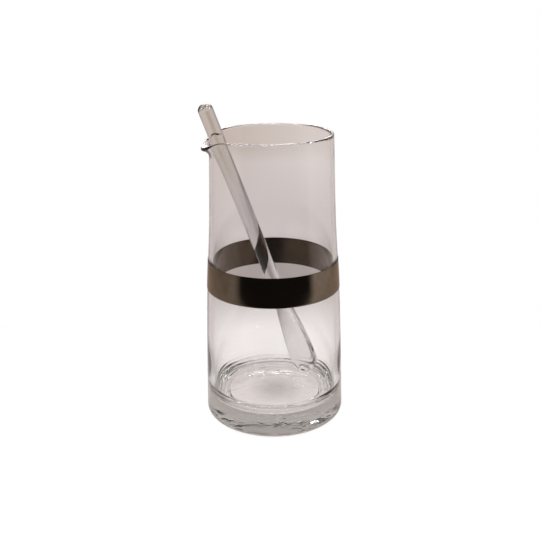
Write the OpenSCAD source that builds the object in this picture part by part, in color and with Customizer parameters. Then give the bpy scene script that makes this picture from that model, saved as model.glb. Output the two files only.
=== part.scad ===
// Cocktail pitcher: a tapered glass body with a thick base and a pinched pouring lip,
// a silver band round its middle, and a loose glass stirring rod that leans in the lip.
// Millimetres. The middle of the base is the origin, +Z is up and the lip points along -X.

/* [Glass body] */
// Height of the body at its rim
body_h = 210; // [170:1:260]
// Outer diameter at the foot
foot_d = 102.8; // [92:0.2:120]
// Outer diameter at the rim
rim_d = 86; // [80:0.2:92]
// Thickness of the glass under the floor
base_t = 15.5; // [12:0.5:24]
// Thickness of the wall just above the floor
low_wall_t = 4.2; // [3:0.1:6]
// Thickness of the wall at the rim
rim_wall_t = 2.6; // [2:0.1:3.6]
// Radius of the rounding where the floor meets the wall
corner_r = 12; // [8:0.5:18]
// Radius of the rounding round the foot
heel_r = 5; // [2:0.5:8]
// Diameter of the shallow hollow under the base
punt_d = 76; // [60:1:84]
// Depth of the shallow hollow under the base
punt_depth = 1.3; // [0.6:0.1:3]

/* [Pouring lip] */
// How far the lip stands out from the rim
lip_out = 6.3; // [3:0.1:9]
// How far the tip of the lip dips below the rim
lip_drop = 7.2; // [3:0.1:7.8]
// Height of wall that bends outwards into the lip
lip_h = 16.5; // [15:0.5:24]
// Angle from the middle of the lip at which it is mostly gone
lip_half_angle = 19; // [14:1:26]

/* [Silver band] */
// Height of the band's lower edge above the table
band_z = 99.2; // [60:0.2:120]
// Height of the band
band_h = 21.3; // [10:0.1:40]
// Thickness of the silver
band_t = 0.3; // [0.2:0.05:1]

/* [Stirring rod] */
// Diameter of the rod
rod_d = 10.3; // [8:0.1:12]
// Length of the rod from end to end
rod_l = 233; // [210:1:280]
// Height of the domed top end
dome_h = 4.4; // [2:0.1:5]
// Width of the flattened paddle
paddle_w = 21; // [14:0.5:24]
// Thickness of the flattened paddle
paddle_t = 8; // [5:0.5:9]
// Length over which the rod widens into the paddle
paddle_l = 88; // [60:1:120]
// Length of the paddle's rounded end
paddle_end = 14; // [8:0.5:20]
// Turn of the paddle about the rod, from square to its lean
paddle_turn = 40; // [-90:1:90]
// Angle from the middle of the lip at which the rod leans
lean_side = 9.2; // [-12:0.2:12]
// Angle round the floor, from opposite the lip, at which its foot stands
foot_side = 27; // [-40:0.2:40]
// How far outside the flat floor its axis would meet the floor's level
foot_out = 3.1; // [-10:0.1:10]
// Gap between the resting rod and the glass
rod_gap = 0.3; // [0.2:0.05:0.6]

/* [Hidden] */
$fn = 96;

glass_colour = [0.80, 0.76, 0.74, 0.55];
silver_colour = [0.30, 0.29, 0.28];
rod_colour = [0.76, 0.72, 0.70, 0.75];

// The outer wall tapers through these levels: shares of the height, and of the step from rim to foot.
level_shares = [0, 0.25, 0.475, 0.7, 1];
taper_shares = [1, 0.83, 0.61, 0.25, 0];
levels = [for (i = [0 : len(level_shares) - 1])
    [level_shares[i] * body_h, (rim_d + taper_shares[i] * (foot_d - rim_d)) / 2]];
function wall_r(z) = lookup(z, levels);
function wall_t(z) = lookup(z, [[base_t, low_wall_t], [body_h, rim_wall_t]]);
function inner_r(z) = wall_r(z) - wall_t(z);

// The lip ring starts a little below the bend and is let into the wall under it.
ring_z = body_h - lip_h - 2 * rim_wall_t;
seam_depth = rim_wall_t / 2;
seam_step = rim_wall_t / 60;
ring_sides = 96;
ring_rows = 10;
bead_rows = 6;
row_power = 1.5;
bend_power = 1.8;
pinch_power = 1.7;
dip_power = 0.8;
heel_steps = 8;
corner_steps = 12;
bead_z = body_h - rim_wall_t / 2;
bend_z = body_h - lip_h;

// How much of the lip is left at angle a from its middle.
function pinch(a) = 1 / pow(1 + pow(a / lip_half_angle, 2), pinch_power);
// How much of the bend is reached at height z of the straight wall, and how fast it grows there.
function bend_at(z) = max(0, (z - bend_z) / (bead_z - bend_z));
function bend(z) = pow(bend_at(z), bend_power);
function bend_rate(z) = bend_power * pow(bend_at(z), bend_power - 1) / (bead_z - bend_z);
// Radius and height of the wall's middle line, and the line's own direction.
function middle(a, z) = [
    wall_r(z) - wall_t(z) / 2 + lip_out * pinch(a) * bend(z),
    z - lip_drop * pow(pinch(a), dip_power) * bend(z)
];
function along(a, z) =
    let (d = [lip_out * pinch(a) * bend_rate(z), 1 - lip_drop * pow(pinch(a), dip_power) * bend_rate(z)])
    d / norm(d);
function across(a, z) = let (d = along(a, z)) [d.y, -d.x];
// Heights of the ring's rows, closer together towards the rim.
ring_foot_z = ring_z - seam_depth;
function row_z(i) = ring_foot_z + (bead_z - ring_foot_z) * (1 - pow(1 - i / ring_rows, row_power));
function half_t(z) = wall_t(z) / 2 - seam_step;
function ring_profile(a) = [
    for (i = [0 : ring_rows]) let (z = row_z(i)) middle(a, z) + half_t(z) * across(a, z),
    for (i = [1 : bead_rows - 1])
        middle(a, bead_z) + half_t(bead_z)
            * (cos(180 * i / bead_rows) * across(a, bead_z) + sin(180 * i / bead_rows) * along(a, bead_z)),
    for (i = [ring_rows : -1 : 0]) let (z = row_z(i)) middle(a, z) - half_t(z) * across(a, z)
];
function from_lip(turn) = abs((turn + 180) % 360 - 180);
function polar(turn, p) = [-p.x * cos(turn), -p.x * sin(turn), p.y];

// Triangles of a tube of rings that closes on itself both ways.
function wrap_faces(rings, sides) = [
    for (i = [0 : rings - 1], j = [0 : sides - 1])
        let (
            a = i * sides + j,
            b = i * sides + (j + 1) % sides,
            c = ((i + 1) % rings) * sides + (j + 1) % sides,
            d = ((i + 1) % rings) * sides + j
        )
        each [[a, b, c], [a, c, d]]
];

module lip_ring() {
    profiles = [for (k = [0 : ring_sides - 1])
        let (turn = 360 * k / ring_sides) [for (p = ring_profile(from_lip(turn))) polar(turn, p)]];
    polyhedron([for (p = profiles) each p], wrap_faces(ring_sides, len(profiles[0])));
}

// An arc of a profile as points from one angle to another.
function arc(centre, r, from, to, steps) = [
    for (i = [0 : steps]) let (a = from + (to - from) * i / steps) centre + r * [cos(a), sin(a)]
];

// The inner wall just above the corner, and the outer wall just above the heel.
corner_z = base_t + corner_r;
corner_x = inner_r(corner_z) - corner_r;
heel_x = wall_r(heel_r) - heel_r;

module body_profile() {
    polygon([
        [0, 0],
        each arc([heel_x, heel_r], heel_r, -90, 0, heel_steps),
        for (p = levels) if (p.x > heel_r && p.x < ring_z) [p.y, p.x],
        [wall_r(ring_z), ring_z],
        [inner_r(ring_z), ring_z],
        for (i = [len(levels) - 1 : -1 : 0]) let (z = levels[i].x)
            if (z > corner_z && z < ring_z) [inner_r(z), z],
        each arc([corner_x, corner_z], corner_r, 0, -90, corner_steps),
        [0, base_t]
    ]);
}

// The hollow under the base is a slice of a ball that meets the foot at the hollow's edge.
punt_ball_r = (pow(punt_d / 2, 2) + pow(punt_depth, 2)) / (2 * punt_depth);

module glass_body() {
    color(glass_colour) union() {
        difference() {
            rotate_extrude() body_profile();
            translate([0, 0, punt_depth - punt_ball_r]) sphere(r = punt_ball_r);
        }
        lip_ring();
    }
}

band_top = band_z + band_h;
band_levels = [band_z, for (p = levels) if (p.x > band_z && p.x < band_top) p.x, band_top];

module silver_band() {
    color(silver_colour) rotate_extrude() polygon([
        for (z = band_levels) [wall_r(z), z],
        for (i = [len(band_levels) - 1 : -1 : 0]) [wall_r(band_levels[i]) + band_t, band_levels[i]]
    ]);
}

// The rod's own frame: u runs up its axis from the paddle's end, y across its lean.
rod_r = rod_d / 2;
rod_seam = rod_r / 100;
core_r = rod_r - rod_seam;
paddle_sides = 32;
paddle_rows = 16;
end_rows = 7;
dome_steps = 8;
squareness = 1.2;
first_row_share = 0.3;
function ease(t) = t * t * (3 - 2 * t);
function paddle_at(u) = ease(max(0, min(1, (paddle_l - u) / (paddle_l - paddle_end))));
// The end closes as half an ellipse across its width, and over half its thickness across its faces.
function closing(u, l) = u < l ? sqrt(1 - pow(1 - u / l, 2)) : 1;
function half_w(u) = (core_r + (paddle_w / 2 - core_r) * paddle_at(u)) * closing(u, paddle_end);
function half_b(u) = (core_r + (paddle_t / 2 - core_r) * paddle_at(u)) * closing(u, paddle_t / 2);
function turned(p, a) = [p.x * cos(a) - p.y * sin(a), p.x * sin(a) + p.y * cos(a)];
function rounded(c, n) = sign(c) * pow(abs(c), n);
// A cross-section: a circle on the plain rod, and a rectangle with full round corners on the paddle.
function section(u) =
    let (n = 2 / (2 + squareness * paddle_at(u)))
    [for (k = [0 : paddle_sides - 1])
        let (
            a = 360 * k / paddle_sides,
            p = turned([half_b(u) * rounded(cos(a), n), half_w(u) * rounded(sin(a), n)], paddle_turn)
        )
        [p.x, p.y, u]];
// Heights of the rows: close together round the end, even up the paddle, and one inside the plain rod.
paddle_u = [
    for (i = [0 : end_rows - 1]) paddle_end * pow((i + first_row_share) / end_rows, 2),
    for (i = [0 : paddle_rows]) paddle_end + (paddle_l - paddle_end) * i / paddle_rows,
    paddle_l + rod_r / 2
];
paddle_points = [for (u = paddle_u) each section(u)];

function loft_faces(rings, sides) = [
    [for (j = [0 : sides - 1]) j],
    [for (j = [sides - 1 : -1 : 0]) (rings - 1) * sides + j],
    for (i = [0 : rings - 2], j = [0 : sides - 1])
        let (
            a = i * sides + j,
            b = i * sides + (j + 1) % sides,
            c = (i + 1) * sides + (j + 1) % sides,
            d = (i + 1) * sides + j
        )
        each [[a, c, b], [a, d, c]]
];

// The rod's axis runs from near the floor's rounding to the rim, where it swings out until the rod meets the lip.
foot_r = corner_x + foot_out;
foot = [foot_r * cos(foot_side), foot_r * sin(foot_side), base_t];
function rim_point(r) = [-r * cos(lean_side), -r * sin(lean_side), body_h];
search_angle = 16;
search_steps = 16;
lip_points = [
    for (turn = [lean_side - search_angle : lean_side + search_angle])
        let (profile = ring_profile(from_lip(turn)))
        for (i = [ring_rows : len(profile) - 1]) polar(turn, profile[i])
];
function nearest(r) =
    let (a = rim_point(r), d = a - foot, axis = d / norm(d))
    min([for (p = lip_points) norm(cross(p - a, axis))]);
function meet(low, high, steps) =
    let (r = (low + high) / 2)
    steps == 0 ? low : nearest(r) > rod_r + rod_gap ? meet(r, high, steps - 1) : meet(low, r, steps - 1);
rim_at = rim_point(meet(0, rim_d / 2 + lip_out, search_steps));
lean = rim_at - foot;
axis = lean / norm(lean);
lean_turn = atan2(lean.y, lean.x);
lean_angle = acos(axis.z);
function leant(p) =
    let (q = turned([p.x * cos(lean_angle) + p.z * sin(lean_angle), p.y], lean_turn))
    [q.x, q.y, p.z * cos(lean_angle) - p.x * sin(lean_angle)];
leant_paddle = [for (p = paddle_points) leant(p)];

// How far a point inside the body is clear of the wall, the flat floor or the rounding between them.
function clear_at(p) =
    let (r = norm([p.x, p.y]))
    p.z > corner_z ? inner_r(p.z) - r
    : r < corner_x ? p.z - base_t
    : corner_r - norm([r - corner_x, p.z - corner_z]);
// The rod slides down its axis until its paddle meets the glass.
function paddle_clear(s) = min([for (p = leant_paddle) clear_at(foot + s * axis + p)]);
function settle(low, high, steps) =
    let (s = (low + high) / 2)
    steps == 0 ? high : paddle_clear(s) > rod_gap ? settle(low, s, steps - 1) : settle(s, high, steps - 1);
rod_foot = foot + settle(-corner_r, corner_r, search_steps) * axis;

module plain_rod() {
    rotate_extrude() polygon([
        [0, paddle_l],
        [rod_r, paddle_l],
        for (i = [0 : dome_steps - 1]) let (a = 90 * i / dome_steps)
            [rod_r * cos(a), rod_l - dome_h + dome_h * sin(a)],
        [0, rod_l]
    ]);
}

module stirring_rod() {
    color(rod_colour) translate(rod_foot) rotate([0, lean_angle, lean_turn]) {
        plain_rod();
        polyhedron(paddle_points, loft_faces(len(paddle_u), paddle_sides));
    }
}

glass_body();
silver_band();
stirring_rod();
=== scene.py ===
"""Looks of the cocktail pitcher: a clear glass body with a pouring lip, an aged silver band and a glass stirring rod.

Metres, in the frame of the CAD part: the middle of the base is the origin, +Z is up and the lip points along -X.
"""

import bpy
import numpy as np
from bpy.props import FloatProperty, FloatVectorProperty, PointerProperty
from mathutils import Matrix, Vector


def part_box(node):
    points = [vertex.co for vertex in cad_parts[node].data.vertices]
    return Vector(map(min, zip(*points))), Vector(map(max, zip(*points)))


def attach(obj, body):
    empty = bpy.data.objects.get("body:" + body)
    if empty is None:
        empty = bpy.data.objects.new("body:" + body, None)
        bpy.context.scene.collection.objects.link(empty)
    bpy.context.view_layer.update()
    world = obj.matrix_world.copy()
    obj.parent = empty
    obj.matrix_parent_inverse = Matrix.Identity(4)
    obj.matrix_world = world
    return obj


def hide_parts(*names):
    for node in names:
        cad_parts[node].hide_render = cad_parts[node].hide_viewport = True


bl_info = {
    "name": "Cocktail pitcher",
    "version": (1, 0, 0),
    "blender": (4, 5, 0),
    "location": "3D View > Sidebar > Pitcher",
    "description": "Builds a glass cocktail pitcher with a silver band and its stirring rod",
    "category": "Object",
}

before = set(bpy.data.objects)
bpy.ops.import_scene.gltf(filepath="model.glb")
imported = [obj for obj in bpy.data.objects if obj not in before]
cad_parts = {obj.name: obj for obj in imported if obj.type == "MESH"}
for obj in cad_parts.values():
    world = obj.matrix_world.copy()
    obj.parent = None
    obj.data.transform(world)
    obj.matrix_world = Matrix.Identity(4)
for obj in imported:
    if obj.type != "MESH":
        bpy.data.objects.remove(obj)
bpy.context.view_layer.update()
BODY_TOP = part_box("glass_body")[1].z
BAND_LOW, BAND_HIGH = (corner.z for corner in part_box("silver_band"))

MM = 0.001
WHITE = (1, 1, 1)

# The outer wall tapers through these levels: shares of the height, and of the step from rim to foot.
LEVEL_SHARES = np.array([0, 0.25, 0.475, 0.7, 1])
TAPER_SHARES = np.array([1, 0.83, 0.61, 0.25, 0])

# How the lip bends with the height, how it narrows with the angle, and how much wider its dip is.
BEND_POWER = 1.8
PINCH_POWER = 1.7
DIP_POWER = 0.8

# What the paddle's section adds to the power of 2 that a round one has.
SQUARENESS = 2.2

# Points round the body and the band, and rows of points along the parts of the body's profile.
SIDES = 216
HOLLOW_ROWS, FOOT_ROWS, HEEL_ROWS, WALL_ROWS, LIP_ROWS = 60, 8, 14, 40, 34
RIM_ROWS, RIDGED_ROWS, CORNER_ROWS, EDGE_ROWS, FLOOR_ROWS = 14, 16, 70, 9, 14
RIDGED_WALL = 4 * MM

# Points round the rod, and rows along its rounded end, its paddle, its plain length and its dome.
ROD_SIDES = 128
ROD_ROWS = (40, 60, 20, 16)

# Rows over the band's height and round each of its edges.
BAND_ROWS, BAND_EDGE_ROWS = 28, 8

# Glass: long waves, finger smears, and a hue that changes between two heights.
GLASS_IOR = 1.5
WAVE_DEPTH = 2 * MM
SMEAR_SCALE, SMEAR_HAZE = 90, 0.03
HUE_LEVELS = (170 * MM, 210 * MM)

# Underside of the base: the heights between which its finish ends, the worn ring, and the lumps, fewer in the hollow.
UNDERSIDE_LEVELS = (3 * MM, 4 * MM)
WORN_RADII, WORN_HAZE = (40 * MM, 45 * MM), 0.22
LUMP_RADII, LUMPS_IN_HOLLOW = (38 * MM, 40 * MM), 0.3
LUMP_SCALE, LUMP_STRENGTH, LUMP_DEPTH = 120, 0.28, 4 * MM

# Pits in the bead of the rim, which begins between two heights.
BEAD_LEVELS = (207.5 * MM, 208.5 * MM)
PIT_SCALE, PIT_DEPTH = 700, 1 * MM

# Silver: clouds of tarnish with a satin between two roughnesses, and a fine grain.
CLOUD_SCALE, SATIN_HAZE = 55, (0.15, 0.08)
GRAIN_SCALE, GRAIN_SHADE, GRAIN_SHARE = 1400, (0.8, 0.8, 0.8), 0.6
GRAIN_STRENGTH, GRAIN_DEPTH = 0.12, 0.2 * MM

# What the silver mirrors at a glancing angle outside and, with painted shade, towards the glass, and the tilts at
# which its rounded edges go dark with painted shade.
MIRROR_TINT = (0.62, 0.54, 0.48)
INNER_SHADE_MIRROR_TINT = (0.15, 0.12, 0.10)
SHADED_EDGE_TILTS, SHADED_EDGE_SHARE = (0.2, 0.6), 0.05

# The room: the compass angle of its dark front and the angle to each side of it, the way to its bright back, how much
# brighter the strip there is, and the light that matt surfaces get from all round.
SHADE_HEADING, SHADE_HALF = np.radians(-101), np.radians(62)
BACK_HEADING = np.radians(75.8)
STRIP_GAIN = 9.0
SOFT_LIGHT = (0.55, 0.54, 0.53)

# The painted shade on the floor under the middle of the base, seen through glass.
MIDDLE_SHADE_PLACE, MIDDLE_SHADE_RADII = (3 * MM, 9 * MM, 0), (5 * MM, 22 * MM)

# The floor's half width, and its height, just below what stands on it.
FLOOR_REACH, FLOOR_TOP = 4.0, -0.3 * MM

# The camera's place, its compass turn, tilt and roll in degrees, and its lens and sensor in millimetres.
CAMERA_PLACE = (-0.1373, -0.5413, 0.3086)
CAMERA_TURNS = (-14, 70.42, -0.76)
CAMERA_LENS, CAMERA_SENSOR = 54.31, 36

# Each lamp's name, place, width, depth and watts, and whether glass and metal mirror it.
LAMP_AIM = (0, 0, 0.1)
LAMPS = (
    ("key_lamp", (-0.9, -0.7, 1.5), 0.9, 0.9, 16, False),
    ("fill_lamp", (1.1, 0.3, 1.3), 0.9, 0.9, 8, False),
    ("glint_lamp", (-0.35, -0.9, 0.9), 0.12, 0.12, 1.2, True),
    ("left_glint", (-0.86, -0.09, 0.9), 0.25, 0.25, 6, True),
    ("right_glint", (0.72, -0.48, 0.9), 0.25, 0.25, 6, True),
    ("front_lamp", (-0.15, -0.6, 1.5), 1.2, 0.3, 14, True),
)


def length(name, description, default):
    """A size in metres for the sidebar."""
    return FloatProperty(name=name, description=description, default=default, min=0, unit="LENGTH", precision=4)


def angle(name, description, degrees):
    """An angle for the sidebar."""
    return FloatProperty(name=name, description=description, default=np.radians(degrees), subtype="ANGLE")


def colour(name, description, default):
    """A linear colour for the sidebar."""
    return FloatVectorProperty(name=name, description=description, default=default, subtype="COLOR", min=0, max=1)


class PitcherGlass(bpy.types.PropertyGroup):
    """Sizes and tint of the glass body"""

    height: length("Height", "Height of the body at its rim", BODY_TOP)
    foot_diameter: length("Foot diameter", "Outer diameter at the foot", 102.8 * MM)
    rim_diameter: length("Rim diameter", "Outer diameter at the rim", 86 * MM)
    base_thickness: length("Base thickness", "Thickness of the glass under the floor", 15.5 * MM)
    low_wall: length("Low wall", "Thickness of the wall just above the floor", 4.2 * MM)
    rim_wall: length("Rim wall", "Thickness of the wall at the rim", 2.6 * MM)
    corner_radius: length("Corner radius", "Radius of the rounding where the floor meets the wall", 12 * MM)
    heel_radius: length("Heel radius", "Radius of the rounding round the foot", 5 * MM)
    punt_diameter: length("Hollow diameter", "Diameter of the shallow hollow under the base", 76 * MM)
    punt_depth: length("Hollow depth", "Depth of the shallow hollow under the base", 1.3 * MM)
    ripple_height: length("Ripple height", "Height of the grinding rings in the hollow", 0.004 * MM)
    ripple_length: length("Ripple length", "Distance between the grinding rings", 3.2 * MM)
    ridge_height: length("Ridge height", "Height of the first soft ridge round the floor", 1.2 * MM)
    ridge_length: length("Ridge length", "Distance between the ridges round the floor", 2.9 * MM)
    ridge_start: length("Ridge start", "How far inside the edge of the flat floor the ridges begin", 0.8 * MM)
    ridge_fade: length("Ridge fade", "Distance over which the ridges lose two thirds of their height", 10 * MM)
    swell: length("Swell", "How much the wall thickens inwards down to the floor's corner", 0.65 * MM)
    swell_height: length("Swell height", "Height over which the wall thickens", 30 * MM)
    seat_heading: angle("Seat heading", "Compass angle of the rod's foot, where the wall doesn't thicken", 27.1)
    seat_half: angle("Seat half", "Angle to each side of the rod's foot that stays clear of the thickening", 25)
    lip_reach: length("Lip reach", "How far the lip stands out from the rim", 6.3 * MM)
    lip_drop: length("Lip drop", "How far the tip of the lip dips below the rim", 7.2 * MM)
    lip_height: length("Lip height", "Height of wall that bends outwards into the lip", 16.5 * MM)
    lip_spread: angle("Lip spread", "Angle from the middle of the lip at which it is mostly gone", 19)
    tint: colour("Tint", "Colour that thick glass takes", (0.81, 0.81, 0.799))


class PitcherBand(bpy.types.PropertyGroup):
    """Sizes and colours of the silver band"""

    low_edge: length("Lower edge", "Height of the band's lower edge", BAND_LOW)
    high_edge: length("Upper edge", "Height of the band's upper edge", BAND_HIGH)
    thickness: length("Thickness", "Thickness of the silver", 0.3 * MM)
    bond: length("Bond", "Depth to which the silver is bonded into the glass", 0.05 * MM)
    silver: colour("Silver", "Colour of the brighter metal", (0.34, 0.30, 0.26))
    tarnish: colour("Tarnish", "Colour of the aged metal", (0.25, 0.20, 0.155))
    # Painted shade: the darker, browner colour of the face towards the glass.
    inner_shade_hue: colour("Bonded hue", "What is left of the colour on the face towards the glass", (0.30, 0.215, 0.14))


class PitcherRod(bpy.types.PropertyGroup):
    """Sizes, place and tint of the stirring rod"""

    diameter: length("Diameter", "Diameter of the plain rod", 10.3 * MM)
    length: length("Length", "Length of the rod from end to end", 233 * MM)
    dome: length("Dome", "Height of the domed top end", 4.4 * MM)
    paddle_width: length("Paddle width", "Width of the flattened paddle", 21 * MM)
    paddle_thickness: length("Paddle thickness", "Thickness of the flattened paddle", 8 * MM)
    paddle_length: length("Paddle length", "Length over which the rod widens into the paddle", 88 * MM)
    paddle_end: length("Paddle end", "Length of the paddle's rounded end", 14 * MM)
    paddle_turn: angle("Paddle turn", "Turn of the paddle about the rod", 40)
    foot: FloatVectorProperty(
        name="Foot",
        description="Lower end of the rod's axis",
        default=(33.2433 * MM, 16.9954 * MM, 16.308 * MM),
        subtype="TRANSLATION",
        unit="LENGTH",
    )
    lean: angle("Lean", "Angle of the resting rod from upright", 21.5464)
    heading: angle("Heading", "Compass angle towards which the rod leans", -162.181)
    tint: colour("Tint", "Colour that thick glass takes", (0.80, 0.84, 0.81))
    low_hue: colour("Lower hue", "Hue of the rod's glass at its lower end", (0.79, 0.77, 0.78))
    high_hue: colour("Upper hue", "Hue of the rod's glass at its upper end", (0.80, 0.765, 0.72))


class PitcherStage(bpy.types.PropertyGroup):
    """Colours of the floor and of what surrounds the pitcher"""

    floor: colour("Floor", "Colour of the floor", (0.86, 0.83, 0.82))
    # Painted shade and light on the floor, seen through glass: shade under the base's middle, under the base and under
    # the foot, a pool of light close by, the band's shadow, and dimmer floor farther off.
    middle_shade: colour("Under the middle", "Floor under the base's middle, seen through glass", (0.61, 0.55, 0.54))
    under_base: colour("Under the base", "Floor in the shade under the base, seen through glass", (0.89, 0.815, 0.80))
    under_foot: colour("Under the foot", "Floor in the shade of the foot, seen through glass", (0.69, 0.625, 0.605))
    near_floor: colour("Near floor", "Floor close by, seen through glass", (1.0, 0.94, 0.93))
    band_shadow: colour("Band shadow", "Floor where the band's shadow falls, seen through glass", (0.43, 0.375, 0.36))
    far_floor: colour("Far floor", "Floor farther off, seen through glass", (0.70, 0.625, 0.615))
    back_left: colour("Back left", "Left side of the back, seen through glass", (0.70, 0.62, 0.59))
    tan_left: colour("Tan left", "Left side of the distance, seen through glass", (0.58, 0.49, 0.44))
    back_right: colour("Back right", "Right side of the back, seen through glass", (0.80, 0.725, 0.715))
    tan_right: colour("Tan right", "Right side of the distance, seen through glass", (0.73, 0.65, 0.615))
    room_left: colour("Room left", "Left side of the room, seen in reflections", (0.34, 0.29, 0.245))
    room_right: colour("Room right", "Right side of the room, seen in reflections", (0.50, 0.44, 0.39))
    shade: colour("Shade", "Dark front of the room, seen in reflections", (0.012, 0.010, 0.009))
    left_dim: colour("Left dimming", "Share of the left side's light that comes through glass", (0.50, 0.49, 0.48))
    right_dim: colour("Right dimming", "Share of the right side's light that comes through glass", (0.8, 0.79, 0.78))
    ceiling: colour("Ceiling", "Bright ceiling, seen in glass and metal", (0.95, 0.93, 0.92))
    far_ceiling: colour("Far ceiling", "Ceiling behind the pitcher, seen in glass and metal", (0.74, 0.67, 0.645))


class PitcherSettings(bpy.types.PropertyGroup):
    """All the settings of the pitcher"""

    glass: PointerProperty(type=PitcherGlass)
    band: PointerProperty(type=PitcherBand)
    rod: PointerProperty(type=PitcherRod)
    stage: PointerProperty(type=PitcherStage)


def eased(t):
    """A step with level ends: three times t squared less twice t cubed, for t held between 0 and 1."""
    t = np.clip(t, 0, 1)
    return t * t * (3 - 2 * t)


def wall_radius(glass, z):
    """Radius of the outer wall at height z.

    It is a cubic curve through the five levels, with each level's slope taken from its neighbours.
    """
    heights = LEVEL_SHARES * glass.height
    radii = (glass.rim_diameter + TAPER_SHARES * (glass.foot_diameter - glass.rim_diameter)) / 2
    slopes = np.gradient(radii, heights)
    i = np.clip(np.searchsorted(heights, z) - 1, 0, len(heights) - 2)
    step = heights[i + 1] - heights[i]
    t = (z - heights[i]) / step
    low = (1 + 2 * t) * (1 - t) ** 2 * radii[i] + t * (1 - t) ** 2 * step * slopes[i]
    high = t * t * (3 - 2 * t) * radii[i + 1] + t * t * (t - 1) * step * slopes[i + 1]
    return low + high


def wall_thickness(glass, z):
    """Thickness of the wall at height z: a straight line from the floor to the rim."""
    return np.interp(z, [glass.base_thickness, glass.height], [glass.low_wall, glass.rim_wall])


def lip_wall(glass, from_lip, z):
    """The wall with its lip, for a column of heights and a row of angles from the lip's middle.

    The middle line goes out by reach times pinch times bend, and down by drop times a flatter pinch times bend. The
    bend grows from 0 to 1 over the lip's height as a power, and the pinch falls away with the angle. Returns the line's
    radius and height, its direction as a radius and a height, and half the wall's thickness.
    """
    bead = glass.height - glass.rim_wall / 2
    span = bead - (glass.height - glass.lip_height)
    share = np.clip((z - bead) / span + 1, 0, None)
    bend, bend_rate = share**BEND_POWER, BEND_POWER * share ** (BEND_POWER - 1) / span
    pinch = (1 + (from_lip / glass.lip_spread) ** 2) ** -PINCH_POWER
    out, down = glass.lip_reach * pinch, glass.lip_drop * pinch**DIP_POWER
    half = wall_thickness(glass, z) / 2
    radius = wall_radius(glass, z) - half + out * bend
    height = z - down * bend
    steps = np.stack(np.broadcast_arrays(out * bend_rate, 1 - down * bend_rate))
    return radius, height, steps / np.linalg.norm(steps, axis=0), half


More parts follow.
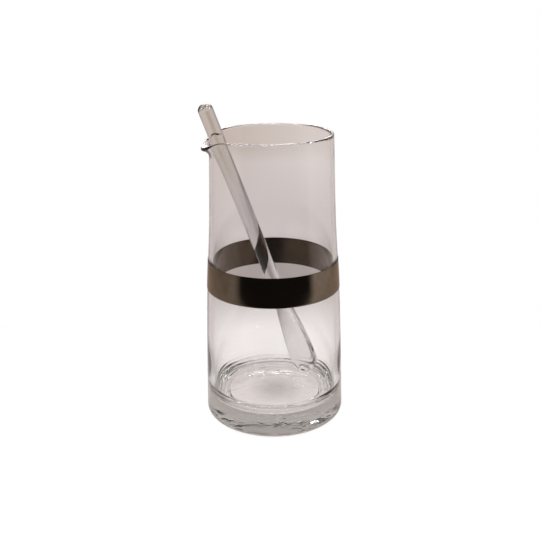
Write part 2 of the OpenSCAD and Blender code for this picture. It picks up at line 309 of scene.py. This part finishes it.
def body_rows(glass, turn):
    """Radius and height of the closed glass profile at each turn from the lip, as two arrays of rows by angles.

    The rows start at the middle of the underside and go through the shallow hollow (a slice of a ball, with cosine
    ripples), the foot, the heel (a quarter circle), the outer wall, the bead of the rim (a half circle), the inner
    wall, the corner (a quarter circle) and the floor, to its middle. Soft ridges go into the glass round the floor and
    up the corner: cosines of the way along the profile, which fade with it. Down to the corner the wall swells inwards
    by an eased step, which the corner takes up with the cosine of its arc. The swell leaves the rod's foot clear.
    """
    from_lip = np.abs((turn + np.pi) % (2 * np.pi) - np.pi)
    hollow = glass.punt_diameter / 2
    ball = (hollow**2 + glass.punt_depth**2) / (2 * glass.punt_depth)
    heel_x = wall_radius(glass, glass.heel_radius) - glass.heel_radius
    corner_z = glass.base_thickness + glass.corner_radius
    corner_x = wall_radius(glass, corner_z) - wall_thickness(glass, corner_z) - glass.corner_radius
    bead = glass.height - glass.rim_wall / 2
    bend_foot = glass.height - glass.lip_height
    wave = 2 * np.pi / glass.ripple_length

    r = np.linspace(0, hollow, HOLLOW_ROWS)[1:]
    fade = eased((hollow - r) / (0.2 * hollow))
    under = glass.punt_depth - ball + np.sqrt(ball**2 - r**2) - glass.ripple_height * (1 - np.cos(wave * r)) * fade
    foot = np.linspace(hollow, heel_x, FOOT_ROWS)[1:-1]
    arc = np.linspace(-np.pi / 2, 0, HEEL_ROWS)[:-1]
    heel = heel_x + glass.heel_radius * np.cos(arc), glass.heel_radius * (1 + np.sin(arc))
    quarter = glass.corner_radius * np.pi / 2

    def ridge(way):
        """Depth of the ridges in the glass, by the way along the profile from the edge of the flat floor."""
        way = np.maximum(way + glass.ridge_start, 0)
        turns = way / glass.ridge_length
        height = glass.ridge_height * np.exp(-way / glass.ridge_fade) * (1 + 0.25 * np.sin(2 * turn + 1))
        height = height * (1 - eased((way - 0.7 * quarter) / (0.45 * quarter)))
        return height * (1 - np.cos(2 * np.pi * turns + 0.3 * np.sin(turn) * turns)) / 2

    away = np.abs((turn - glass.seat_heading) % (2 * np.pi) - np.pi)
    swell = glass.swell * eased((away - glass.seat_half) / (0.8 * glass.seat_half))

    def column(rows):
        return np.broadcast_to(np.asarray(rows)[:, None], (len(rows), len(from_lip)))

    def side(z, sign):
        radius, height, along, half = lip_wall(glass, from_lip[None, :], z[:, None])
        return radius + sign * half * along[1], height - sign * half * along[0]

    bent = bead - (bead - bend_foot) * np.linspace(1, 0, LIP_ROWS) ** 1.3
    outer = side(np.concatenate([np.linspace(glass.heel_radius, bend_foot, WALL_ROWS)[:-1], bent]), 1)
    ridged = corner_z + RIDGED_WALL
    plain_wall = np.linspace(bend_foot, ridged, WALL_ROWS)[1:]
    ridged_wall = np.linspace(ridged, corner_z, RIDGED_ROWS)[1:]
    wall = np.concatenate([bent[::-1], plain_wall, ridged_wall])
    inner_radius, inner_height = side(wall, -1)
    above = wall[:, None] - corner_z
    inner = inner_radius + ridge(quarter + above) - swell * (1 - eased(above / glass.swell_height)), inner_height
    radius, height, along, half = lip_wall(glass, from_lip[None, :], np.full((1, 1), bead))
    arc = np.linspace(0, np.pi, RIM_ROWS)[1:-1, None]
    rim = (
        radius + half * (np.cos(arc) * along[1] + np.sin(arc) * along[0]),
        height - half * (np.cos(arc) * along[0] - np.sin(arc) * along[1]),
    )
    arc = np.linspace(0, -np.pi / 2, CORNER_ROWS)[1:, None]
    reach = glass.corner_radius + ridge(quarter + glass.corner_radius * arc)
    corner = corner_x + (reach - swell) * np.cos(arc), corner_z + reach * np.sin(arc)
    floor_edge = corner_x - glass.ridge_start * np.linspace(0, 1, EDGE_ROWS)[1:]
    floor = np.concatenate([floor_edge, np.linspace(corner_x - glass.ridge_start, 0, FLOOR_ROWS)[1:-1]])

    parts = [
        (column(r), column(under)),
        (column(foot), column(0 * foot)),
        (column(heel[0]), column(heel[1])),
        outer,
        rim,
        inner,
        corner,
        (column(floor), glass.base_thickness - ridge(floor[:, None] - corner_x)),
    ]
    return np.concatenate([p[0] for p in parts]), np.concatenate([p[1] for p in parts])


def turned_points(radius, height, turn):
    """Points of a turned shape: each row's radius carried round the axis, with a turn of 0 at the lip, on -X."""
    return np.stack([-radius * np.cos(turn), -radius * np.sin(turn), height], axis=-1)


def closed_mesh(name, rows, poles=None):
    """An object from rows of points that each go once round.

    With two poles, the first and last rows close onto them as fans. Without, the last row joins the first one, as in a
    ring.
    """
    count, sides = rows.shape[:2]
    index = np.arange(count * sides).reshape(count, sides)
    if poles is None:
        index = np.concatenate([index, index[:1]])
    low, high = index[:-1], index[1:]
    quads = np.stack([low, np.roll(low, -1, 1), np.roll(high, -1, 1), high], axis=-1).reshape(-1, 4)
    points, faces = rows.reshape(-1, 3), quads.tolist()
    if poles is not None:
        points = np.concatenate([points, poles])
        first, last = index[0], index[-1]
        start = np.full(sides, count * sides)
        faces += np.stack([start, np.roll(first, -1), first], axis=-1).tolist()
        faces += np.stack([start + 1, last, np.roll(last, -1)], axis=-1).tolist()
    mesh = bpy.data.meshes.new(name)
    mesh.from_pydata(points.tolist(), [], faces)
    mesh.shade_smooth()
    piece = bpy.data.objects.new(name, mesh)
    bpy.context.scene.collection.objects.link(piece)
    return piece


def glass_body_piece(glass):
    """The glass body: the closed profile of body_rows, carried round the axis."""
    turn = np.linspace(0, 2 * np.pi, SIDES, endpoint=False)
    rows = turned_points(*body_rows(glass, turn), turn)
    return closed_mesh("clear_body", rows, [(0, 0, glass.punt_depth), (0, 0, glass.base_thickness)])


def band_piece(glass, band):
    """The silver band: the outer wall's own curve offset in and out, with edges rounded as half circles."""
    turn = np.linspace(0, 2 * np.pi, SIDES, endpoint=False)
    half = (band.thickness + band.bond) / 2
    z = np.linspace(band.low_edge + half, band.high_edge - half, BAND_ROWS)
    middle = wall_radius(glass, z) - band.bond + half
    arc = np.linspace(0, np.pi, BAND_EDGE_ROWS)[1:-1]
    radius = np.concatenate(
        [middle + half, middle[-1] + half * np.cos(arc), (middle - half)[::-1], middle[0] - half * np.cos(arc)]
    )
    height = np.concatenate([z, z[-1] + half * np.sin(arc), z[::-1], z[0] - half * np.sin(arc)])
    return closed_mesh("aged_band", turned_points(radius[:, None], height[:, None] + 0 * turn, turn))


def rod_piece(rod):
    """The stirring rod: a round section that widens and squares off into a flat paddle.

    Up the axis, the section's half width and half thickness ease from the rod's radius to the paddle's. It is a
    superellipse, whose power grows with the paddle. The paddle's end closes as half an ellipse, and the top as a dome.
    """
    radius = rod.diameter / 2
    end_rows, paddle_rows, plain_rows, dome_rows = ROD_ROWS
    dome_foot = rod.length - rod.dome
    u = np.concatenate(
        [
            rod.paddle_end * np.linspace(0, 1, end_rows)[1:] ** 2,
            np.linspace(rod.paddle_end, rod.paddle_length, paddle_rows)[1:],
            np.linspace(rod.paddle_length, dome_foot, plain_rows)[1:],
            dome_foot + rod.dome * np.sin(np.linspace(0, np.pi / 2, dome_rows)[1:-1]),
        ]
    )[:, None]
    share = eased((rod.paddle_length - u) / (rod.paddle_length - rod.paddle_end))

    def closing(over):
        return np.sqrt(1 - np.clip(1 - u / over, 0, 1) ** 2)

    dome = np.sqrt(1 - np.clip((u - dome_foot) / rod.dome, 0, 1) ** 2)
    half_width = (radius + (rod.paddle_width / 2 - radius) * share) * closing(rod.paddle_end) * dome
    half_depth = (radius + (rod.paddle_thickness / 2 - radius) * share) * closing(rod.paddle_thickness / 2) * dome
    around = np.linspace(0, 2 * np.pi, ROD_SIDES, endpoint=False)
    power = 2 / (2 + SQUARENESS * share)
    x = half_depth * np.sign(np.cos(around)) * np.abs(np.cos(around)) ** power
    y = half_width * np.sign(np.sin(around)) * np.abs(np.sin(around)) ** power
    c, s = np.cos(rod.paddle_turn), np.sin(rod.paddle_turn)
    rows = np.stack([x * c - y * s, x * s + y * c, u + 0 * x], axis=-1)
    place = np.array(Matrix.Rotation(rod.heading, 3, "Z") @ Matrix.Rotation(rod.lean, 3, "Y"))
    ends = np.array([(0, 0, 0), (0, 0, rod.length)])
    return closed_mesh("glass_stirrer", rows @ place.T + rod.foot, ends @ place.T + rod.foot)


def add_node(tree, kind, inputs=(), **settings):
    """Adds a shader node, sets its own settings, and sets or links its inputs."""
    made = tree.nodes.new(kind)
    for name, value in settings.items():
        setattr(made, name, value)
    for name, value in dict(inputs).items():
        if isinstance(value, bpy.types.NodeSocket):
            tree.links.new(value, made.inputs[name])
        else:
            made.inputs[name].default_value = value
    return made


def opaque(shade):
    """A socket as it is, or a plain colour with an alpha of 1."""
    return shade if isinstance(shade, bpy.types.NodeSocket) else (*shade, 1)


def mapped(tree, value, low, high, start=0.0, end=1.0):
    """A value carried along a straight line, from low and high to start and end, and held between these."""
    inputs = {"Value": value, "From Min": low, "From Max": high, "To Min": start, "To Max": end}
    return add_node(tree, "ShaderNodeMapRange", inputs).outputs["Result"]


def maths(tree, operation, *values, use_clamp=False):
    """A number worked out from numbers."""
    made = add_node(tree, "ShaderNodeMath", enumerate(values), operation=operation, use_clamp=use_clamp)
    return made.outputs["Value"]


def vector_maths(tree, operation, *values):
    """A vector worked out from vectors, or a number where the operation gives one."""
    made = add_node(tree, "ShaderNodeVectorMath", enumerate(values), operation=operation)
    return made.outputs["Value" if operation in ("LENGTH", "DISTANCE", "DOT_PRODUCT") else "Vector"]


def blended(tree, share, first, second, blend_type="MIX"):
    """Two colours, of which the second is mixed or multiplied into the first by a share."""
    inputs = {0: share, 6: opaque(first), 7: opaque(second)}
    return add_node(tree, "ShaderNodeMix", inputs, data_type="RGBA", blend_type=blend_type).outputs[2]


def ramp(tree, share, stops):
    """A colour ramp from (place, colour) stops."""
    made = add_node(tree, "ShaderNodeValToRGB", {"Fac": share})
    elements = made.color_ramp.elements
    while len(elements) < len(stops):
        elements.new(0.5)
    for element, (place, shade) in zip(elements, stops):
        element.position, element.color = place, (*shade, 1)
    return made.outputs["Color"]


def noise(tree, place, scale, detail, **inputs):
    """Soft noise between 0 and 1, with its scale in turns a metre."""
    inputs = {"Vector": place, "Scale": scale, "Detail": detail, **inputs}
    return add_node(tree, "ShaderNodeTexNoise", inputs).outputs["Fac"]


def bumped(tree, height, strength, distance, normal=None):
    """The way a surface faces once bumps are added to it, on top of earlier ones if there are any."""
    inputs = {"Height": height, "Strength": strength, "Distance": distance}
    if normal is not None:
        inputs["Normal"] = normal
    return add_node(tree, "ShaderNodeBump", inputs).outputs["Normal"]


def height_of(tree, place):
    """The Z of a place or direction."""
    return add_node(tree, "ShaderNodeSeparateXYZ", {0: place}).outputs["Z"]


def flattened(tree, place):
    """A place or direction without its Z."""
    return vector_maths(tree, "MULTIPLY", place, (1, 1, 0))


def new_material(name):
    """A material with an empty node tree and its output node."""
    material = bpy.data.materials.new(name)
    material.use_nodes = True
    tree = material.node_tree
    tree.nodes.clear()
    return material, tree, tree.nodes.new("ShaderNodeOutputMaterial")


def clear_glass(name, tint, density, waviness, wave_scale, unevenness=0.0, low_hue=WHITE, high_hue=WHITE):
    """Clear old glass.

    It has faint long waves and finger smears, a worn ring to stand on with lumps under the base, an uneven bead at the
    rim, a tint that deepens with the thickness, and a hue that goes by height.
    """
    material, tree, output = new_material(name)
    place = tree.nodes.new("ShaderNodeTexCoord").outputs["Object"]
    height = height_of(tree, place)
    reach = vector_maths(tree, "LENGTH", flattened(tree, place))
    low = mapped(tree, height, *UNDERSIDE_LEVELS, 1, 0)
    smears = mapped(tree, noise(tree, place, SMEAR_SCALE, 4, Distortion=0.6), 0.5, 0.8, 0, SMEAR_HAZE)
    worn = maths(tree, "MULTIPLY", low, mapped(tree, reach, *WORN_RADII, 0, WORN_HAZE))
    foot = maths(tree, "MULTIPLY", mapped(tree, reach, *LUMP_RADII, LUMPS_IN_HOLLOW, 1), low)
    lumps = maths(tree, "MULTIPLY", noise(tree, place, LUMP_SCALE, 0, Distortion=0.8), foot)
    pits = maths(tree, "MULTIPLY", noise(tree, place, PIT_SCALE, 1), mapped(tree, height, *BEAD_LEVELS))
    normal = bumped(tree, noise(tree, place, wave_scale, 1), waviness, WAVE_DEPTH)
    normal = bumped(tree, lumps, LUMP_STRENGTH, LUMP_DEPTH, normal)
    normal = bumped(tree, pits, unevenness, PIT_DEPTH, normal)
    inputs = {
        "Base Color": blended(tree, mapped(tree, height, *HUE_LEVELS), low_hue, high_hue),
        "Roughness": maths(tree, "ADD", smears, worn),
        "IOR": GLASS_IOR,
        "Transmission Weight": 1,
        "Normal": normal,
    }
    surface = add_node(tree, "ShaderNodeBsdfPrincipled", inputs)
    inside = add_node(tree, "ShaderNodeVolumeAbsorption", {"Color": opaque(tint), "Density": density})
    tree.links.new(surface.outputs["BSDF"], output.inputs["Surface"])
    tree.links.new(inside.outputs["Volume"], output.inputs["Volume"])
    return material


def aged_silver(name, silver, tarnish, inner_shade_hue):
    """Aged silver.

    It has cloudy tarnish over brighter metal, fine pits and a satin that comes and goes. The face towards the glass is
    darker and browner, and the rounded edges are dark: both are painted shade.
    """
    material, tree, output = new_material(name)
    place = tree.nodes.new("ShaderNodeTexCoord").outputs["Object"]
    normal = tree.nodes.new("ShaderNodeNewGeometry").outputs["Normal"]
    clouds = noise(tree, place, CLOUD_SCALE, 5, Roughness=0.6)
    grain = noise(tree, place, GRAIN_SCALE, 2)
    shades = ramp(tree, clouds, [(0.35, tarnish), (0.68, silver)])
    speckle = ramp(tree, grain, [(0.3, GRAIN_SHADE), (0.62, WHITE)])
    outer = blended(tree, GRAIN_SHARE, shades, speckle, "MULTIPLY")
    # Painted shade on the face towards the glass: a darker, browner copy of the silver and of its mirror tint.
    bonded = blended(tree, 1.0, outer, inner_shade_hue, "MULTIPLY")
    inner = maths(tree, "LESS_THAN", vector_maths(tree, "DOT_PRODUCT", flattened(tree, place), normal), 0.0)
    # Painted shade on the rounded edges, where the face tilts up or down: most of their colour and mirror tint is taken
    # away.
    tilt = maths(tree, "ABSOLUTE", height_of(tree, normal))
    plain = mapped(tree, tilt, *SHADED_EDGE_TILTS, 1, SHADED_EDGE_SHARE)
    metal, mirror = (
        add_node(tree, "ShaderNodeVectorMath", {0: blended(tree, inner, *sides), "Scale": plain}, operation="SCALE")
        for sides in ((outer, bonded), (MIRROR_TINT, INNER_SHADE_MIRROR_TINT))
    )
    inputs = {
        "Base Color": metal.outputs["Vector"],
        "Metallic": 1,
        "Specular Tint": mirror.outputs["Vector"],
        "Roughness": mapped(tree, clouds, 0.3, 0.7, *SATIN_HAZE),
        "Normal": bumped(tree, grain, GRAIN_STRENGTH, GRAIN_DEPTH),
    }
    surface = add_node(tree, "ShaderNodeBsdfPrincipled", inputs)
    tree.links.new(surface.outputs["BSDF"], output.inputs["Surface"])
    return material


def facing(tree, place, heading):
    """How far a place or direction lies towards a compass angle: the cosine between them, seen from above."""
    unit = vector_maths(tree, "NORMALIZE", flattened(tree, place))
    return vector_maths(tree, "DOT_PRODUCT", unit, (np.cos(heading), np.sin(heading), 0))


def surroundings(tree, stage, place, through, widening=0.0):
    """What glass and metal see: the colour through where light was only refracted, and the room where it was mirrored.

    Both go by compass angle: the colour through is dimmer off the bright back, and the room is brown at the sides and
    dark in front. The dark front is wider by the widening.
    """
    light = tree.nodes.new("ShaderNodeLightPath").outputs
    across = mapped(tree, facing(tree, place, BACK_HEADING - np.pi / 2), -0.4, 0.4)
    back = facing(tree, place, BACK_HEADING)
    left, right = (ramp(tree, back, [(0.25, dim), (0.8, WHITE)]) for dim in (stage.left_dim, stage.right_dim))
    dimmed = blended(tree, 1.0, through, blended(tree, across, left, right), "MULTIPLY")
    front = mapped(tree, facing(tree, place, SHADE_HEADING), -1, 1)
    front = maths(tree, "ADD", front, widening, use_clamp=True)
    edge = (1 + np.cos(SHADE_HALF)) / 2
    left, right = (
        ramp(tree, front, [(0, stage.far_floor), (0.3, side), (edge - 0.05, side), (edge + 0.04, stage.shade)])
        for side in (stage.room_left, stage.room_right)
    )
    room = blended(tree, across, left, right)
    # Light mirrored inside the glass keeps some of the brighter colour, and light from metal behind it keeps none.
    mirrored = maths(tree, "GREATER_THAN", light["Glossy Depth"], 0.5)
    inside = maths(tree, "COMPARE", light["Transmission Depth"], 2.5, 2.1)
    share = maths(tree, "MULTIPLY", mirrored, maths(tree, "MULTIPLY_ADD", inside, -0.3, 1.0))
    return light, blended(tree, share, dimmed, room)


def floor_material(stage):
    """Pale matt floor.

    It takes the pitcher's shadow, fades to white for the camera, and shows painted shade and light in glass and
    metal: rings by the distance from the pitcher, a painted shade under the base, and a left and a right side farther
    off.
    """
    material, tree, output = new_material("floor")
    place = tree.nodes.new("ShaderNodeTexCoord").outputs["Object"]
    distance = vector_maths(tree, "LENGTH", place)
    # Painted rings seen through glass, by the distance from the pitcher: shade under the base and the foot, a pool of
    # light close by, the band's shadow, then the dimmer floor and the sides farther off.
    rings = [
        (0.037, stage.under_base),
        (0.042, stage.under_foot),
        (0.052, stage.under_foot),
        (0.075, stage.near_floor),
        (0.14, stage.near_floor),
        (0.28, stage.band_shadow),
        (0.33, stage.band_shadow),
        (0.44, stage.far_floor),
        (0.55, stage.far_floor),
    ]
    left, right = (
        ramp(tree, distance, [*rings, (0.85, back), (1.0, tan)])
        for back, tan in ((stage.back_left, stage.tan_left), (stage.back_right, stage.tan_right))
    )
    across = mapped(tree, facing(tree, place, BACK_HEADING - np.pi / 2), -0.1, 0.1)
    through = blended(tree, across, left, right)
    # Painted shade on the floor under the middle of the base.
    middle_shade_share = mapped(tree, vector_maths(tree, "DISTANCE", place, MIDDLE_SHADE_PLACE), *MIDDLE_SHADE_RADII, 1, 0)
    through = blended(tree, middle_shade_share, through, stage.middle_shade)
    widening = mapped(tree, distance, 0.27, 0.41, -0.2, 0.0)
    light, seen = surroundings(tree, stage, place, through, widening)
    spread = blended(tree, mapped(tree, distance, 0.055, 0.12), through, seen)
    glow = blended(tree, light["Is Camera Ray"], spread, WHITE)
    direct = mapped(tree, distance, 0, 0.3, 0.86, 1)
    fade = add_node(tree, "ShaderNodeMix", {0: light["Is Camera Ray"], 2: 1.0, 3: direct}, data_type="FLOAT")
    lit = maths(tree, "MULTIPLY", maths(tree, "SUBTRACT", 1.0, light["Is Diffuse Ray"]), fade.outputs[0])
    matt = add_node(tree, "ShaderNodeBsdfDiffuse", {"Color": opaque(stage.floor)})
    glowing = add_node(tree, "ShaderNodeEmission", {"Color": glow, "Strength": 1})
    both = add_node(tree, "ShaderNodeMixShader", {0: lit, 1: matt.outputs[0], 2: glowing.outputs[0]})
    tree.links.new(both.outputs[0], output.inputs["Surface"])
    return material


def room_world(stage):
    """White for the camera, soft grey light on the object, and the room's own colours in glass and metal.

    The rim, the lip and the rod's top also mirror a bright strip behind the pitcher.
    """
    world = bpy.data.worlds.new("room")
    world.use_nodes = True
    tree = world.node_tree
    tree.nodes.clear()
    output = tree.nodes.new("ShaderNodeOutputWorld")
    place = tree.nodes.new("ShaderNodeTexCoord").outputs["Generated"]
    height = height_of(tree, place)
    back = facing(tree, place, BACK_HEADING)
    light, seen = surroundings(tree, stage, place, stage.far_floor)
    over = ramp(tree, back, [(0.0, stage.ceiling), (0.4, stage.far_ceiling)])
    shown = blended(tree, mapped(tree, height, 0.35, 0.6), seen, over)
    shown = blended(tree, light["Is Diffuse Ray"], shown, SOFT_LIGHT)
    shown = blended(tree, light["Is Camera Ray"], shown, WHITE)
    outside = maths(tree, "LESS_THAN", light["Transmission Depth"], 0.5)
    mirrored = maths(tree, "GREATER_THAN", light["Glossy Depth"], 0.5)
    strip = maths(tree, "MULTIPLY", maths(tree, "MULTIPLY", outside, mirrored), mapped(tree, height, 0.2, 0.3))
    gain = maths(tree, "MULTIPLY_ADD", strip, mapped(tree, back, 0.8, 0.95, 0, STRIP_GAIN), 1.0)
    background = add_node(tree, "ShaderNodeBackground", {"Color": shown, "Strength": gain})
    tree.links.new(background.outputs[0], output.inputs["Surface"])
    return world


def soft_lamp(name, place, width, depth, watts, mirrored):
    """A flat lamp that faces the pitcher. One that isn't mirrored lights matt surfaces only."""
    lamp = bpy.data.lights.new(name, "AREA")
    lamp.shape, lamp.size, lamp.size_y, lamp.energy = "RECTANGLE", width, depth, watts
    piece = bpy.data.objects.new(name, lamp)
    piece.location = place
    piece.rotation_euler = (Vector(LAMP_AIM) - Vector(place)).to_track_quat("-Z", "Y").to_euler()
    piece.visible_camera = False
    piece.visible_glossy = piece.visible_transmission = mirrored
    bpy.context.scene.collection.objects.link(piece)


def pitcher_camera():
    """The camera at the photograph's viewing angle, fitted to the silhouette, the rims of the band and the rod."""
    lens = bpy.data.cameras.new("camera")
    lens.lens, lens.sensor_width = CAMERA_LENS, CAMERA_SENSOR
    camera = bpy.data.objects.new("camera", lens)
    heading, tilt, roll = (np.radians(degrees) for degrees in CAMERA_TURNS)
    turned = Matrix.Rotation(heading, 4, "Z") @ Matrix.Rotation(tilt, 4, "X") @ Matrix.Rotation(roll, 4, "Z")
    camera.matrix_world = Matrix.Translation(CAMERA_PLACE) @ turned
    bpy.context.scene.collection.objects.link(camera)
    bpy.context.scene.camera = camera


def dress(piece, body, node, material):
    """Gives a piece its material and its place in the frame, instead of the CAD node it stands for."""
    piece.data.materials.append(material)
    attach(piece, body)
    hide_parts(node)


class PITCHER_OT_glass_body(bpy.types.Operator):
    """Builds the glass body with its lip and the hollow under its base"""

    bl_idname = "pitcher.glass_body"
    bl_label = "Glass body"

    def execute(self, context):
        glass = context.scene.pitcher.glass
        piece = glass_body_piece(glass)
        finish = clear_glass("clear_glass", glass.tint, density=32, waviness=0.03, wave_scale=38, unevenness=0.3)
        dress(piece, "pitcher", "glass_body", finish)
        return {"FINISHED"}


class PITCHER_OT_silver_band(bpy.types.Operator):
    """Builds the silver band round the middle of the body"""

    bl_idname = "pitcher.silver_band"
    bl_label = "Silver band"

    def execute(self, context):
        settings = context.scene.pitcher
        band = settings.band
        finish = aged_silver("aged_silver", band.silver, band.tarnish, band.inner_shade_hue)
        dress(band_piece(settings.glass, band), "pitcher", "silver_band", finish)
        return {"FINISHED"}


class PITCHER_OT_stirring_rod(bpy.types.Operator):
    """Builds the glass stirring rod where it leans in the lip"""

    bl_idname = "pitcher.stirring_rod"
    bl_label = "Stirring rod"

    def execute(self, context):
        rod = context.scene.pitcher.rod
        piece = rod_piece(rod)
        finish = clear_glass(
            "rod_glass", rod.tint, density=12, waviness=0.12, wave_scale=80, low_hue=rod.low_hue, high_hue=rod.high_hue
        )
        dress(piece, "stirrer", "stirring_rod", finish)
        return {"FINISHED"}


class PITCHER_OT_stage(bpy.types.Operator):
    """Sets up the floor, the surroundings, the lamps and the camera"""

    bl_idname = "pitcher.stage"
    bl_label = "Stage"

    def execute(self, context):
        stage = context.scene.pitcher.stage
        mesh = bpy.data.meshes.new("floor")
        corners = [(FLOOR_REACH * x, FLOOR_REACH * y, FLOOR_TOP) for x, y in ((-1, -1), (1, -1), (1, 1), (-1, 1))]
        mesh.from_pydata(corners, [], [(0, 1, 2, 3)])
        mesh.materials.append(floor_material(stage))
        floor = bpy.data.objects.new("floor", mesh)
        context.scene.collection.objects.link(floor)
        context.scene.world = room_world(stage)
        context.scene.view_settings.view_transform = "Standard"
        for lamp in LAMPS:
            soft_lamp(*lamp)
        pitcher_camera()
        return {"FINISHED"}


class PITCHER_PT_sidebar(bpy.types.Panel):
    """Lists the pitcher's sizes, colours and builders"""

    bl_idname = "PITCHER_PT_sidebar"
    bl_label = "Cocktail pitcher"
    bl_space_type = "VIEW_3D"
    bl_region_type = "UI"
    bl_category = "Pitcher"

    def draw(self, context):
        settings = context.scene.pitcher
        for group in (settings.glass, settings.band, settings.rod, settings.stage):
            box = self.layout.box()
            for name in group.__annotations__:
                box.prop(group, name)
        for operator in OPERATORS:
            self.layout.operator(operator.bl_idname)


OPERATORS = (PITCHER_OT_stage, PITCHER_OT_glass_body, PITCHER_OT_silver_band, PITCHER_OT_stirring_rod)
CLASSES = (PitcherGlass, PitcherBand, PitcherRod, PitcherStage, PitcherSettings, *OPERATORS, PITCHER_PT_sidebar)


def register():
    for cls in CLASSES:
        bpy.utils.register_class(cls)
    bpy.types.Scene.pitcher = PointerProperty(type=PitcherSettings)


def unregister():
    del bpy.types.Scene.pitcher
    for cls in reversed(CLASSES):
        bpy.utils.unregister_class(cls)


def main():
    """Builds the whole scene."""
    register()
    bpy.ops.pitcher.stage()
    bpy.ops.pitcher.glass_body()
    bpy.ops.pitcher.silver_band()
    bpy.ops.pitcher.stirring_rod()


if __name__ == "__main__":
    main()
